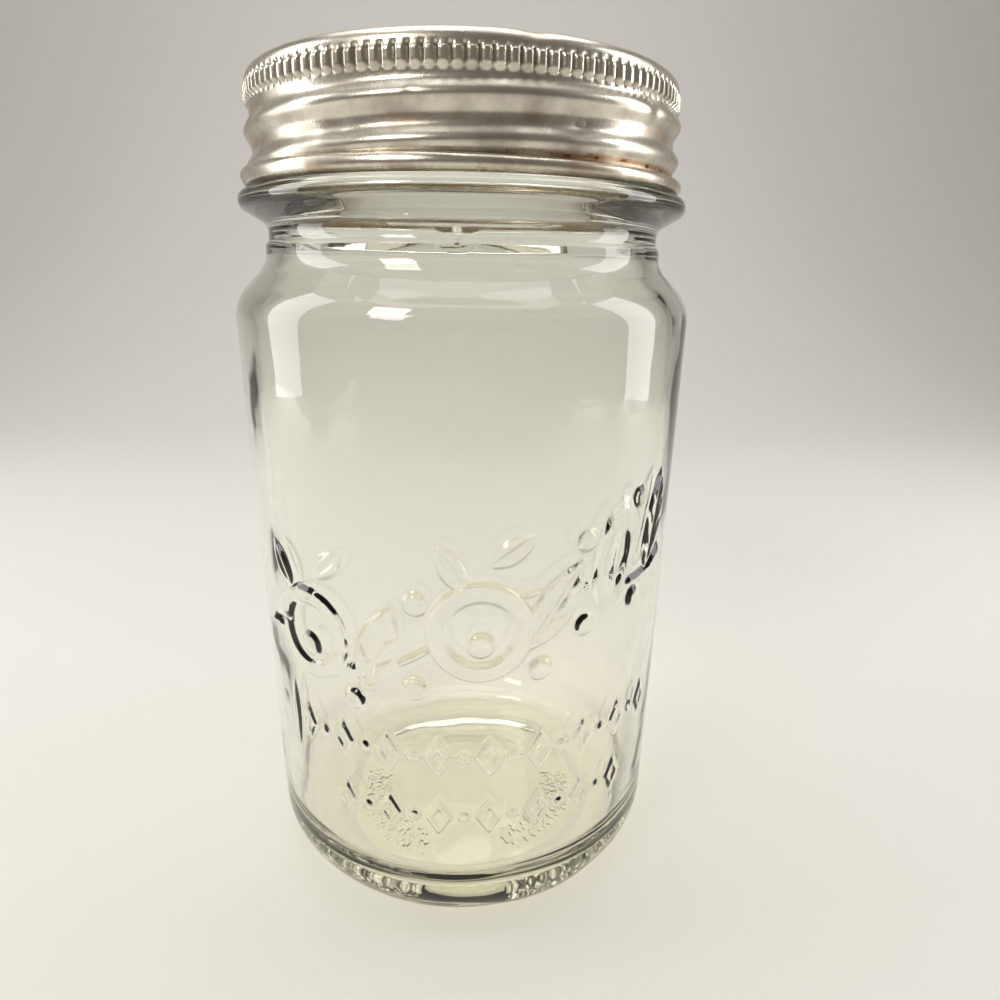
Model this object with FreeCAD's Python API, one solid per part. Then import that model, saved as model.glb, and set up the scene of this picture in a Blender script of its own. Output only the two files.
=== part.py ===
"""Wide-mouthed canning jar of about 0.9 litre: a pressed glass jar, a glass lid and the steel screw band over it.

Millimetres. +Z is up, the origin is the middle of the jar's foot, and -Y is the ornamented front.
Three pieces: jar, glass_lid and screw_band.
"""
import FreeCAD
import Part
import os
from math import asin, cos, degrees, pi, radians, sin, sqrt, tan

V = FreeCAD.Vector
UP = V(0, 0, 1)
ORIGIN = V(0, 0, 0)

# ---- Finish: the threaded mouth. Every piece takes its size from this radius.
FINISH_RADIUS = 41.2          # glass between the threads
FINISH_WALL = 3.5             # from there to the bore of the mouth
FINISH_HEIGHT = 15.7          # from the top of the transfer ring to the lip
LIP_ROUND = 1.1               # both edges of the lip

# ---- Neck and transfer ring
NECK_RELIEF = 0.8             # neck radius under the finish radius
LAND_STEP = 0.7               # the mould's joint: the neck's foot stands out this much
LAND_HEIGHT = 1.5
RING_RISE = 9.3               # shoulder's end to the middle of the ring
RING_ROUND = 2.0              # half of the ring's thickness
RING_OVERHANG = 4.5           # ring's tip beyond the finish radius
RING_UNDERCUT = 30.0          # degrees that its underside falls towards the neck
RING_FILLET = 2.2

# ---- Body
SHOULDER_OVERHANG = 6.8       # body radius beyond the neck's foot
SHOULDER_SLOPE = 43.0         # degrees from upright
SHOULDER_ROUND = 9.0
SHOULDER_HOLLOW = 5.0
BODY_HEIGHT = 126.3           # foot to the start of the shoulder
BODY_DRAFT = 2.0              # the foot's radius is this much less than the shoulder's
BODY_WALL = 3.1
HEEL_ROUND = 13.7
FOOT_WIDTH = 2.6              # flat ring that the jar stands on
PUSH_UP = 3.2                 # height of the hollow under the foot
BASE_THICKNESS = 5.0          # glass over the middle of that hollow
INNER_HEEL_ROUND = 10.5

# ---- Thread, a right-hand helix. Turns count from the right-hand side (+X), and negative ones lie below.
THREAD_PITCH = 6.35
THREAD_ROUND = 1.3            # radius of the glass thread's section, and its height
THREAD_TOP_DROP = 2.8         # lip to the thread's crest at turn 0
BAND_THREAD_START = -1.56
BAND_THREAD_END = 0.08
THREAD_FADE = 0.12            # turns over which each end sinks into the wall
THREAD_ROOT = 0.3             # how far the glass thread reaches into the finish
JAR_THREAD_START = -1.40
JAR_THREAD_END = -0.10
STATIONS_PER_TURN = 24

# ---- Screw band of sheet steel
SHEET = 0.4
BAND_CLEARANCE = 0.7          # finish radius to the inside of the band's wall
BAND_BEAD_HEIGHT = 1.2        # crest of the thread bead over the wall
BAND_BEAD_WIDTH = 4.2
BAND_GAP = 0.3                # ring to the rolled edge
ROLL_RADIUS = 1.3             # curled lower edge, turned outwards
ROLL_STOP = 470.0             # degrees where the curl ends; it starts at 180, on the wall
CORNER_ROUND = 2.3            # wall to top flange
CORNER_PROUD = 0.5            # the corner stands out over the plain wall
FLANGE_WIDTH = 6.0            # top flange, inwards of the wall
KNURL_COUNT = 124
KNURL_PROUD = 0.8             # crest of a rib over the plain wall
KNURL_DROP = 1.9              # top of the band to the top of the ribs
KNURL_HEIGHT = 4.2

# ---- Glass lid
LID_CLEARANCE = 0.45          # lid's edge to the inside of the band's wall
LID_FLANGE = 4.5              # thickness where the band clamps it
LID_EDGE_ROUND = 0.8
LID_CORNER_CLEARANCE = 0.25   # lid's clamped edge to the round corner of the band
LID_BOSS_CLEARANCE = 0.6      # boss to the band's opening
LID_BOSS_HEIGHT = 1.0         # over the flange
LID_DISH_INSET = 6.0          # boss's edge to the dish
LID_DISH_DEPTH = 1.1
LID_PLUG_CLEARANCE = 0.7      # plug to the mouth's bore
LID_PLUG_DEPTH = 2.4
LID_PLUG_WIDTH = 3.0
LID_HOLLOW = 1.2              # hollow underneath, inside the plug

# ---- Ornament pressed into the front: a rising spray of fruit and leaves over two borders of lozenges and beads
RELIEF = 0.9
RELIEF_ROOT = 0.8             # how far a raised form reaches into the wall
SPRAY_HEIGHT = 72.0           # middle of the spray at the front
SPRAY_RISE = 0.2              # mm up for each degree to the right
FRUIT_RADIUS = 10.5
PLUM_LENGTH = 25.0
PLUM_WIDTH = 12.0
LEAF_LENGTH = 22.0
LEAF_WIDTH = 9.5
LEAFLET_LENGTH = 11.0
LEAFLET_WIDTH = 5.5
BERRY_RADIUS = 2.8
# Each form: degrees to the right of the front, height over the spray's middle, and tilt in degrees.
FRUITS = ((-40.0, 4.0), (3.5, 0.5))
PLUMS = ((37.5, 5.0, 80.0),)
LEAVES = ((-20.5, 0.0, 72.0), (21.0, 1.0, 55.0), (54.0, 6.0, 76.0))
LEAFLETS = ((-50.0, 18.5, 125.0), (-33.0, 18.0, 40.0), (10.5, 15.0, 35.0), (-3.0, 14.5, 118.0))
BERRIES = ((-27.0, -10.0), (-11.0, 9.0), (-11.5, -8.5), (17.5, -11.0), (29.0, -6.0), (28.5, 11.5), (46.0, -7.5),
           (45.5, 14.0))
BORDERS = ((46.2, 9), (31.8, 7))  # height of the middle, and number of lozenges
BORDER_MIDDLE = 6.0           # degrees to the right of the front
BORDER_STEP = 12.5            # degrees from one lozenge to the next
LOZENGE_WIDTH = 6.4
LOZENGE_HEIGHT = 10.4
BEAD_RADIUS = 1.6

# ---- Worked out from the sizes above
DRAFT = asin(BODY_DRAFT / sqrt(BODY_HEIGHT ** 2 + BODY_DRAFT ** 2))
SLOPE = radians(SHOULDER_SLOPE)
UNDERCUT = radians(RING_UNDERCUT)
NECK_RADIUS = FINISH_RADIUS - NECK_RELIEF
LAND_RADIUS = NECK_RADIUS + LAND_STEP
BODY_RADIUS = LAND_RADIUS + SHOULDER_OVERHANG
MOUTH_RADIUS = FINISH_RADIUS - FINISH_WALL
BAND_INNER = FINISH_RADIUS + BAND_CLEARANCE
BAND_OUTER = BAND_INNER + SHEET
BAND_OPENING = BAND_OUTER - FLANGE_WIDTH
CORNER_AXIS = BAND_OUTER + CORNER_PROUD - CORNER_ROUND


class Outline:
    """A chain of straight and round edges in the half-plane of radius and height, which is turned round the Z axis."""

    def __init__(self, r, z):
        self.start = V(r, 0, z)
        self.end = self.start
        self.edges = []

    def line(self, r, z):
        """Runs straight to a point, and adds nothing if it is already there."""
        target = V(r, 0, z)
        if (target - self.end).Length > 1e-6:
            self.edges.append(Part.LineSegment(self.end, target).toShape())
            self.end = target
        return self

    def arc(self, centre, radius, from_deg, to_deg):
        """Runs straight to a round stretch and then along it. 0 degrees points outwards and 90 up."""
        def at(deg):
            return V(centre[0] + radius * cos(radians(deg)), 0, centre[1] + radius * sin(radians(deg)))
        first, last = at(from_deg), at(to_deg)
        self.line(first.x, first.z)
        self.edges.append(Part.Arc(first, at((from_deg + to_deg) / 2), last).toShape())
        self.end = last
        return self

    def turned(self):
        """The closed outline turned through a full circle, as a solid."""
        self.line(self.start.x, self.start.z)
        return Part.Face(Part.Wire(self.edges)).revolve(ORIGIN, UP, 360)


def sphere_through(rim, depth):
    """Radius of the sphere whose cap is that deep and that wide at its rim, and half the angle that the cap spans."""
    radius = (rim ** 2 + depth ** 2) / (2 * depth)
    return radius, degrees(asin(rim / radius))


def wall_radius(z):
    """Outer radius of the body's straight wall at a height."""
    return BODY_RADIUS - (BODY_HEIGHT - z) * tan(DRAFT)


def tangent_heel(radius, floor_z, inset):
    """Centre of an arc that touches a level floor and the body's wall taken in by inset."""
    z = floor_z + radius
    return wall_radius(z) - (inset + radius) / cos(DRAFT), z


def shoulder_arcs(inset):
    """Centres and radii of the shoulder's round and hollow on the outer wall (inset 0) or on the inner one."""
    top = SHOULDER_ROUND - inset
    hollow = SHOULDER_HOLLOW + inset
    centre = (BODY_RADIUS - SHOULDER_ROUND * cos(DRAFT), BODY_HEIGHT + SHOULDER_ROUND * sin(DRAFT))
    straight_end = LAND_RADIUS + SHOULDER_HOLLOW * (1 - cos(SLOPE))
    straight = (centre[0] + SHOULDER_ROUND * cos(SLOPE) - straight_end) / sin(SLOPE)
    hollow_centre = (LAND_RADIUS + SHOULDER_HOLLOW,
                     centre[1] + (SHOULDER_ROUND + SHOULDER_HOLLOW) * sin(SLOPE) + straight * cos(SLOPE))
    return centre, top, hollow_centre, hollow


SHOULDER_END = shoulder_arcs(0)[2][1]
RING_Z = SHOULDER_END + RING_RISE
RING_TOP = RING_Z + RING_ROUND
LIP_Z = RING_TOP + FINISH_HEIGHT
LID_TOP = LIP_Z + LID_FLANGE
BAND_TOP = LID_TOP + SHEET


def thread_height(turn):
    """Height of the thread's crest, turn revolutions on from the right-hand side."""
    return LIP_Z - THREAD_TOP_DROP + THREAD_PITCH * turn


def helical_rib(start, end, surface, height, rounding, root):
    """A rib that winds from turn start to turn end on a wall of radius surface and fades at both ends.

    Its section is round outside and flat inside, where it reaches to root behind the surface."""
    count = max(8, round((end - start) * STATIONS_PER_TURN))
    back = surface - root
    sections = []
    for i in range(count + 1):
        turn = start + (end - start) * i / count
        share = min(1.0, min(turn - start, end - turn) / THREAD_FADE)
        share *= share * (3 - 2 * share)
        crest = back + root / 2 + (height + root / 2) * share
        half = sqrt(rounding ** 2 - (back - crest + rounding) ** 2)
        out = V(cos(2 * pi * turn), sin(2 * pi * turn), 0)
        level = V(0, 0, thread_height(turn))
        low, high = out * back + level - UP * half, out * back + level + UP * half
        arc = Part.Arc(low, out * crest + level, high).toShape()
        sections.append(Part.Wire([arc, Part.LineSegment(high, low).toShape()]))
    return Part.makeLoft(sections, True, False)


def jar_blank():
    """The jar without its thread and ornament, in one turned outline that runs under the foot, up the outside,
    over the lip and down the inside."""
    heel_r, heel_z = tangent_heel(HEEL_ROUND, 0, 0)
    round_c, round_r, hollow_c, hollow_r = shoulder_arcs(0)
    ring_r = FINISH_RADIUS + RING_OVERHANG - RING_ROUND
    fillet_r = NECK_RADIUS + RING_FILLET
    slant = (ring_r + RING_ROUND * sin(UNDERCUT) - fillet_r + RING_FILLET * sin(UNDERCUT)) / cos(UNDERCUT)
    fillet_z = RING_Z - (RING_ROUND + RING_FILLET) * cos(UNDERCUT) - slant * sin(UNDERCUT)
    push_radius, push_half = sphere_through(heel_r - FOOT_WIDTH, PUSH_UP)
    floor_z = PUSH_UP + BASE_THICKNESS
    inner_heel_r, inner_heel_z = tangent_heel(INNER_HEEL_ROUND, floor_z, BODY_WALL)
    in_round_c, in_round_r, in_hollow_c, in_hollow_r = shoulder_arcs(BODY_WALL)
    mouth_shift = LAND_RADIUS - BODY_WALL - MOUTH_RADIUS

    jar = Outline(0, PUSH_UP)
    jar.arc((0, PUSH_UP - push_radius), push_radius, 90, 90 - push_half)
    jar.arc((heel_r, heel_z), HEEL_ROUND, -90, -degrees(DRAFT))
    jar.arc(round_c, round_r, -degrees(DRAFT), SHOULDER_SLOPE)
    jar.arc(hollow_c, hollow_r, 180 + SHOULDER_SLOPE, 180)
    jar.line(LAND_RADIUS, SHOULDER_END + LAND_HEIGHT)
    jar.line(NECK_RADIUS, SHOULDER_END + LAND_HEIGHT + LAND_STEP)
    jar.arc((fillet_r, fillet_z), RING_FILLET, 180, 90 + RING_UNDERCUT)
    jar.arc((ring_r, RING_Z), RING_ROUND, RING_UNDERCUT - 90, 90)
    jar.line(FINISH_RADIUS, RING_TOP)
    jar.arc((FINISH_RADIUS - LIP_ROUND, LIP_Z - LIP_ROUND), LIP_ROUND, 0, 90)
    jar.arc((MOUTH_RADIUS + LIP_ROUND, LIP_Z - LIP_ROUND), LIP_ROUND, 90, 180)
    jar.line(MOUTH_RADIUS, SHOULDER_END)
    jar.line(MOUTH_RADIUS + mouth_shift, SHOULDER_END - abs(mouth_shift))
    jar.arc(in_hollow_c, in_hollow_r, 180, 180 + SHOULDER_SLOPE)
    jar.arc(in_round_c, in_round_r, SHOULDER_SLOPE, -degrees(DRAFT))
    jar.arc((inner_heel_r, inner_heel_z), INNER_HEEL_ROUND, -degrees(DRAFT), -90)
    jar.line(0, floor_z)
    return jar.turned()


def leaf(length, width, tilt):
    """A pointed leaf as a flat face in front of the jar, with its middle on the axis of Y."""
    a, b = V(-length / 2, 0, 0), V(length / 2, 0, 0)
    edges = [Part.Arc(a, V(0, 0, width / 2), b).toShape(), Part.Arc(b, V(0, 0, -width / 2), a).toShape()]
    face = Part.Face(Part.Wire(edges))
    face.rotate(ORIGIN, V(0, -1, 0), tilt)
    return face


def oval(length, width, tilt=0):
    """A round or oval fruit as a flat face."""
    if abs(length - width) < 1e-9:
        return Part.Face(Part.Wire(Part.makeCircle(length / 2, ORIGIN, V(0, -1, 0))))
    curve = Part.Ellipse(V(length / 2, 0, 0), V(0, 0, width / 2), ORIGIN)
    face = Part.Face(Part.Wire(curve.toShape()))
    face.rotate(ORIGIN, V(0, -1, 0), tilt)
    return face


def lozenge(width, height):
    """A lozenge standing on its point, as a flat face."""
    corners = [V(-width / 2, 0, 0), V(0, 0, -height / 2), V(width / 2, 0, 0), V(0, 0, height / 2)]
    return Part.Face(Part.makePolygon(corners + corners[:1]))


def on_front(face, turn, z):
    """The flat face pushed through the front wall at a place given in degrees to the right and height."""
    block = face.extrude(V(0, BODY_RADIUS / 2, 0))
    block.translate(V(0, -1.25 * BODY_RADIUS, z))
    block.rotate(ORIGIN, UP, turn)
    return block


def border_turns(count):
    """Where the lozenges of a border of that many stand, in degrees to the right of the front."""
    return [BORDER_MIDDLE + (i - (count - 1) / 2) * BORDER_STEP for i in range(count)]


def ornament():
    """All the raised forms of the front, cut to stand RELIEF over the wall."""
    blocks = []

    def place(face, turn, rise):
        blocks.append(on_front(face, turn, SPRAY_HEIGHT + SPRAY_RISE * turn + rise))

    for turn, rise in FRUITS:
        place(oval(2 * FRUIT_RADIUS, 2 * FRUIT_RADIUS), turn, rise)
    for turn, rise in BERRIES:
        place(oval(2 * BERRY_RADIUS, 2 * BERRY_RADIUS), turn, rise)
    for turn, rise, tilt in PLUMS:
        place(oval(PLUM_LENGTH, PLUM_WIDTH, tilt), turn, rise)
    for turn, rise, tilt in LEAVES:
        place(leaf(LEAF_LENGTH, LEAF_WIDTH, tilt), turn, rise)
    for turn, rise, tilt in LEAFLETS:
        place(leaf(LEAFLET_LENGTH, LEAFLET_WIDTH, tilt), turn, rise)
    for z, count in BORDERS:
        turns = border_turns(count)
        for turn in turns:
            blocks.append(on_front(lozenge(LOZENGE_WIDTH, LOZENGE_HEIGHT), turn, z))
        for turn in turns[1:]:
            blocks.append(on_front(oval(2 * BEAD_RADIUS, 2 * BEAD_RADIUS), turn - BORDER_STEP / 2, z))
    low, high = HEEL_ROUND, BODY_HEIGHT
    skin = Outline(wall_radius(low) - RELIEF_ROOT, low)
    skin.line(wall_radius(low) + RELIEF, low)
    skin.line(wall_radius(high) + RELIEF, high)
    skin.line(wall_radius(high) - RELIEF_ROOT, high)
    shell = skin.turned()
    return [block.common(shell) for block in blocks]


def make_jar():
    """Jar: the turned blank with its glass thread and the pressed ornament."""
    thread = helical_rib(JAR_THREAD_START, JAR_THREAD_END, FINISH_RADIUS, THREAD_ROUND, THREAD_ROUND, THREAD_ROOT)
    return jar_blank().fuse([thread] + ornament()).removeSplitter()


def make_lid():
    """Glass lid: a clamped flange, a boss that fills the band's opening, a shallow dish and a plug in the mouth."""
    edge = BAND_INNER - LID_CLEARANCE
    corner = edge - CORNER_AXIS + LID_CORNER_CLEARANCE
    boss = BAND_OPENING - LID_BOSS_CLEARANCE
    boss_top = LID_TOP + LID_BOSS_HEIGHT
    dish = boss - LID_DISH_INSET
    dish_radius, dish_half = sphere_through(dish, LID_DISH_DEPTH)
    plug = MOUTH_RADIUS - LID_PLUG_CLEARANCE
    hollow = plug - LID_PLUG_WIDTH
    hollow_z = LIP_Z + LID_HOLLOW
    lid = Outline(0, hollow_z)
    lid.line(hollow, hollow_z)
    lid.line(hollow, LIP_Z - LID_PLUG_DEPTH)
    lid.line(plug, LIP_Z - LID_PLUG_DEPTH)
    lid.line(plug, LIP_Z)
    lid.arc((edge - LID_EDGE_ROUND, LIP_Z + LID_EDGE_ROUND), LID_EDGE_ROUND, -90, 0)
    lid.arc((edge - corner, LID_TOP - corner), corner, 0, 90)
    lid.line(boss, LID_TOP)
    lid.arc((boss - LID_EDGE_ROUND, boss_top - LID_EDGE_ROUND), LID_EDGE_ROUND, 0, 90)
    lid.line(dish, boss_top)
    lid.arc((0, boss_top - LID_DISH_DEPTH + dish_radius), dish_radius, -90 + dish_half, -90)
    return lid.turned()


def knurl_ring():
    """The ring of upright ribs, with rounded ends, round the band's plain wall."""
    top = BAND_TOP - KNURL_DROP
    low = top - KNURL_HEIGHT
    crest = BAND_OUTER + KNURL_PROUD
    inside = BAND_OUTER - SHEET / 2
    step = 2 * pi / KNURL_COUNT

    def at(r, angle):
        return V(r * cos(angle), r * sin(angle), low)

    ribs = [Part.Arc(at(BAND_OUTER, i * step), at(crest, (i + 0.5) * step), at(BAND_OUTER, (i + 1) * step)).toShape()
            for i in range(KNURL_COUNT)]
    comb = Part.Face(Part.Wire(ribs)).extrude(V(0, 0, KNURL_HEIGHT))
    envelope = Outline(inside, low)
    envelope.arc((BAND_OUTER, low + KNURL_PROUD), KNURL_PROUD, -90, 0)
    envelope.line(crest, top)
    envelope.line(inside, top)
    return comb.common(envelope.turned())


def make_band():
    """Screw band: flange, rounded corner, knurled grip, wall with its helical bead, and curled lower edge."""
    corner = (CORNER_AXIS, BAND_TOP - CORNER_ROUND)
    wall_top = corner[1] - CORNER_PROUD
    curl = (BAND_INNER + ROLL_RADIUS, RING_TOP + BAND_GAP + ROLL_RADIUS)
    bead_half = BAND_BEAD_WIDTH / 2
    bead_round = (bead_half ** 2 + BAND_BEAD_HEIGHT ** 2) / (2 * BAND_BEAD_HEIGHT)

    sheet = Outline(BAND_INNER, curl[1])
    sheet.arc(curl, ROLL_RADIUS, 180, ROLL_STOP)
    sheet.arc(curl, ROLL_RADIUS - SHEET, ROLL_STOP, 180)
    sheet.line(BAND_OUTER, wall_top)
    sheet.arc(corner, CORNER_ROUND, 0, 90)
    sheet.line(BAND_OPENING, BAND_TOP)
    sheet.line(BAND_OPENING, LID_TOP)
    sheet.arc(corner, CORNER_ROUND - SHEET, 90, 0)
    sheet.line(BAND_INNER, wall_top)
    bead = helical_rib(BAND_THREAD_START, BAND_THREAD_END, BAND_OUTER, BAND_BEAD_HEIGHT, bead_round, SHEET / 2)
    groove = helical_rib(BAND_THREAD_START, BAND_THREAD_END, BAND_INNER, BAND_BEAD_HEIGHT, bead_round - SHEET,
                         SHEET / 2)
    return sheet.turned().fuse(bead).cut(groove).fuse(knurl_ring())


def main():
    """Builds each piece, reports its volume and writes it to parts/."""
    os.makedirs("parts", exist_ok=True)
    for name, build in (("jar", make_jar), ("glass_lid", make_lid), ("screw_band", make_band)):
        shape = build()
        shape = shape.Solids[0] if len(shape.Solids) == 1 else shape
        print(name, shape.ShapeType, "solids", len(shape.Solids), "valid", shape.isValid(),
              "volume_mm3", round(shape.Volume, 1), shape.BoundBox)
        shape.exportStep(f"parts/{name}.step")


main()
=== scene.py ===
"""Looks of a wide-mouthed canning jar: pressed glass, glass lid and threaded, knurled screw band.

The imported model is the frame. Each of its three nodes is replaced by a finer piece of the same size
and place. The jar's sizes are in millimetres and become metres in its meshes, and the studio's are in
metres. The ornamented front is -Y, and angles to the right of it are positive.
"""
import logging
from collections.abc import Callable
from dataclasses import dataclass, field
from enum import Enum
from math import asin, atan2, ceil, cos, degrees, exp, floor, hypot, inf, pi, radians, sin, sqrt, tan

import bpy
from mathutils import Matrix, Vector


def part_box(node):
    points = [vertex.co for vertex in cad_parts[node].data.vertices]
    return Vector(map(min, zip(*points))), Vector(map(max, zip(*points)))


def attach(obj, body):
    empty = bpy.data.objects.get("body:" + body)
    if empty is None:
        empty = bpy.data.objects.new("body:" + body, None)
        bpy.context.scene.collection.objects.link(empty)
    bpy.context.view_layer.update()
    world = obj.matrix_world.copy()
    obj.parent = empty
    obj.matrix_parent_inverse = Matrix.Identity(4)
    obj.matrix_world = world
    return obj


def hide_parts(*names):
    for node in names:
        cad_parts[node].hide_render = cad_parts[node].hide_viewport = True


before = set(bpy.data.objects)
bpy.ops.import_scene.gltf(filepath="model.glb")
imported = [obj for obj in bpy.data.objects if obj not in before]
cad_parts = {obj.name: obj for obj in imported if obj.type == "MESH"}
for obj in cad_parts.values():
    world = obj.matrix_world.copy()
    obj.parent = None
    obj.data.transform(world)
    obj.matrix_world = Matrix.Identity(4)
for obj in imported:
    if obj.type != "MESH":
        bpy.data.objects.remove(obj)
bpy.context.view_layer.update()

MM = 0.001
TOUCHING = 1e-4               # millimetres; an outline's points that are nearer than this are one
SEAM = 2e-6                   # metres; a turned piece's points that are nearer than this are merged
LEAST_SHARE = 0.001           # a modifier leaves points with less than this alone
LOG = logging.getLogger("canning_jar")


class Motif(Enum):
    """The raised forms that the mould presses into the front."""

    FRUIT = "fruit"
    PLUM = "plum"
    LEAF = "leaf"
    LEAFLET = "leaflet"
    BERRY = "berry"
    LOZENGE = "lozenge"
    BEAD = "bead"


# ---------------------------------------------------------------- small tools


def colour(code: str) -> tuple[float, float, float, float]:
    """Turns an sRGB hex colour into a linear one.

    Args:
        code: the colour as "#RRGGBB".

    Returns:
        Linear red, green and blue, and full opacity.
    """
    def linear(value: float) -> float:
        """One channel from sRGB to linear."""
        return value / 12.92 if value <= 0.04045 else ((value + 0.055) / 1.055) ** 2.4

    red, green, blue = (linear(int(code[i:i + 2], 16) / 255) for i in (1, 3, 5))
    return red, green, blue, 1.0


def smooth(value: float) -> float:
    """Eases a value from 0 to 1, and holds it at both ends."""
    value = min(1.0, max(0.0, value))
    return value * value * (3 - 2 * value)


def bell(off: float, width: float) -> float:
    """Height of a round ridge or groove: 1 in its middle and near 0 past twice its width."""
    return exp(-(off / width) ** 2)


def add_node(tree: bpy.types.NodeTree, kind: str, settings: dict | None = None,
             links: dict | None = None) -> bpy.types.Node:
    """Adds a node to a tree.

    Args:
        tree: the node tree.
        kind: the node's type name.
        settings: values for its input sockets, by name or number, or for its own settings.
        links: sockets that feed its inputs, by the input's name or number.

    Returns:
        The new node.
    """
    node = tree.nodes.new(kind)
    for key, value in (settings or {}).items():
        if isinstance(key, int) or key in node.inputs:
            node.inputs[key].default_value = value
        else:
            setattr(node, key, value)
    for key, socket in (links or {}).items():
        tree.links.new(socket, node.inputs[key])
    return node


def new_material(name: str) -> tuple[bpy.types.Material, bpy.types.NodeTree]:
    """Makes a node material with no nodes.

    Args:
        name: the material's name.

    Returns:
        The material and its node tree.
    """
    material = bpy.data.materials.new(name)
    material.use_nodes = True
    material.node_tree.nodes.clear()
    return material, material.node_tree


def deselect() -> None:
    """Leaves edit mode and selects nothing."""
    if bpy.context.object and bpy.context.object.mode != "OBJECT":
        bpy.ops.object.mode_set(mode="OBJECT")
    bpy.ops.object.select_all(action="DESELECT")


def only(piece: bpy.types.Object) -> None:
    """Selects one piece alone and makes it active.

    Args:
        piece: the piece to work on.
    """
    deselect()
    piece.select_set(True)
    bpy.context.view_layer.objects.active = piece


def settle(piece: bpy.types.Object, material: bpy.types.Material, angle: float) -> None:
    """Gives a shaped piece its one material, puts its place into its mesh and smooths its faces.

    Args:
        piece: the shaped piece.
        material: what it is made of.
        angle: edges sharper than this, in degrees, stay sharp.
    """
    piece.data.materials.clear()
    piece.data.materials.append(material)
    only(piece)
    bpy.ops.object.transform_apply(location=True, rotation=True, scale=True)
    bpy.ops.object.shade_smooth_by_angle(angle=radians(angle))
    deselect()


# ---------------------------------------------------------------- turning


class Profile:
    """An outline in radius and height, in millimetres, cut into short steps for turning."""

    def __init__(self, r: float, z: float) -> None:
        """Starts the outline at a point."""
        self.points = [(r, z)]

    def line(self, r: float, z: float, step: float = inf) -> "Profile":
        """Runs straight to a point, and adds nothing where the outline is there already.

        Args:
            r: its radius.
            z: its height.
            step: the longest row that the stretch is cut into; one row if not given.

        Returns:
            The outline itself.
        """
        r0, z0 = self.points[-1]
        length = hypot(r - r0, z - z0)
        if length > TOUCHING:
            count = max(1, ceil(length / step))
            self.points += [(r0 + (r - r0) * i / count, z0 + (z - z0) * i / count)
                            for i in range(1, count + 1)]
        return self

    def arc(self, centre: tuple[float, float], radius: float, start: float, end: float,
            step: float) -> "Profile":
        """Runs straight to a round stretch and then along it.

        Args:
            centre: radius and height of the arc's middle.
            radius: the arc's own radius.
            start: where it starts, in degrees; 0 points outwards and 90 up.
            end: where it ends.
            step: the longest row that it is cut into.

        Returns:
            The outline itself.
        """
        count = max(2, ceil(abs(radians(end - start)) * radius / step))
        for i in range(count + 1):
            angle = radians(start + (end - start) * i / count)
            self.line(centre[0] + radius * cos(angle), centre[1] + radius * sin(angle))
        return self


def turned(name: str, outline: Profile, columns: int) -> bpy.types.Object:
    """Turns an outline into a piece, as on a lathe.

    Args:
        name: the piece's name.
        outline: what is turned, from one end to the other.
        columns: how many columns of faces go round.

    Returns:
        The turned piece, with its seam and poles merged and its faces pointing outwards.
    """
    deselect()
    places = [Vector((r * MM, 0, z * MM)) for r, z in outline.points]
    bpy.ops.mesh.primitive_plane_add(size=MM, location=places[0])
    piece = bpy.context.object
    piece.name = piece.data.name = name
    bpy.ops.object.mode_set(mode="EDIT")
    bpy.ops.mesh.select_all(action="SELECT")
    bpy.ops.mesh.merge(type="CENTER")
    for here, there in zip(places, places[1:]):
        bpy.ops.mesh.extrude_region_move(TRANSFORM_OT_translate={"value": there - here})
    bpy.ops.mesh.select_all(action="SELECT")
    bpy.ops.mesh.spin(steps=columns, angle=2 * pi, center=(0, 0, 0), axis=(0, 0, 1))
    bpy.ops.mesh.select_all(action="SELECT")
    bpy.ops.mesh.remove_doubles(threshold=SEAM)
    bpy.ops.mesh.normals_make_consistent(inside=False)
    bpy.ops.object.mode_set(mode="OBJECT")
    bpy.ops.object.transform_apply(location=True, rotation=True, scale=True)
    return piece


def front_turn(x: float, y: float) -> float:
    """Degrees to the right of the front, which is -Y."""
    return degrees(atan2(x, -y))


def from_front(angle: float) -> float:
    """Degrees to the right of the front, for an angle that counts from +X."""
    return (angle + 270) % 360 - 180


def press(piece: bpy.types.Object, share: Callable[[float, float, float], float], depth: float,
          middle: float = 0.0, texture: bpy.types.Texture | None = None) -> None:
    """Moves a piece's points along their normals with a Displace modifier, and applies it.

    Args:
        piece: the piece to shape.
        share: gives 0 to 1 of the move at x, y and z in millimetres.
        depth: the full move outwards in millimetres, negative for inwards.
        middle: the texture's value that leaves a point where it is.
        texture: what the move follows; the same everywhere if not given.
    """
    group = piece.vertex_groups.new(name="share")
    for vertex in piece.data.vertices:
        weight = share(*(vertex.co / MM))
        if weight > LEAST_SHARE:
            group.add([vertex.index], min(1.0, weight), "REPLACE")
    only(piece)
    move = piece.modifiers.new("press", "DISPLACE")
    move.vertex_group = group.name
    move.mid_level = middle
    move.strength = depth * MM
    if texture:
        move.texture = texture
        move.texture_coords = "LOCAL"
    bpy.ops.object.modifier_apply(modifier=move.name)
    piece.vertex_groups.clear()


def push_out(piece: bpy.types.Object, height: Callable[[float, float, float], float], most: float) -> None:
    """Raises or sinks a piece's faces by heights that are given round the axis.

    Args:
        piece: the piece to shape.
        height: gives the rise in millimetres at a radius, degrees round from +X and height.
        most: the largest rise or, when negative, the deepest fall.
    """
    press(piece, lambda x, y, z: height(hypot(x, y), degrees(atan2(y, x)), z) / most, most)


def waver(piece: bpy.types.Object, size: float, depth: float,
          where: Callable[[float, float, float], float]) -> None:
    """Makes a surface slightly uneven, as pressed glass and thin sheet are.

    Args:
        piece: the piece to shape.
        size: distance between the waves, in millimetres.
        depth: height of the waves, in millimetres.
        where: gives the share of the waves, 0 to 1, at x, y and z in millimetres.
    """
    texture = bpy.data.textures.new(piece.name + "_waves", "CLOUDS")
    texture.noise_scale = size * MM
    texture.noise_depth = 1
    press(piece, where, depth, 0.5, texture)


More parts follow.
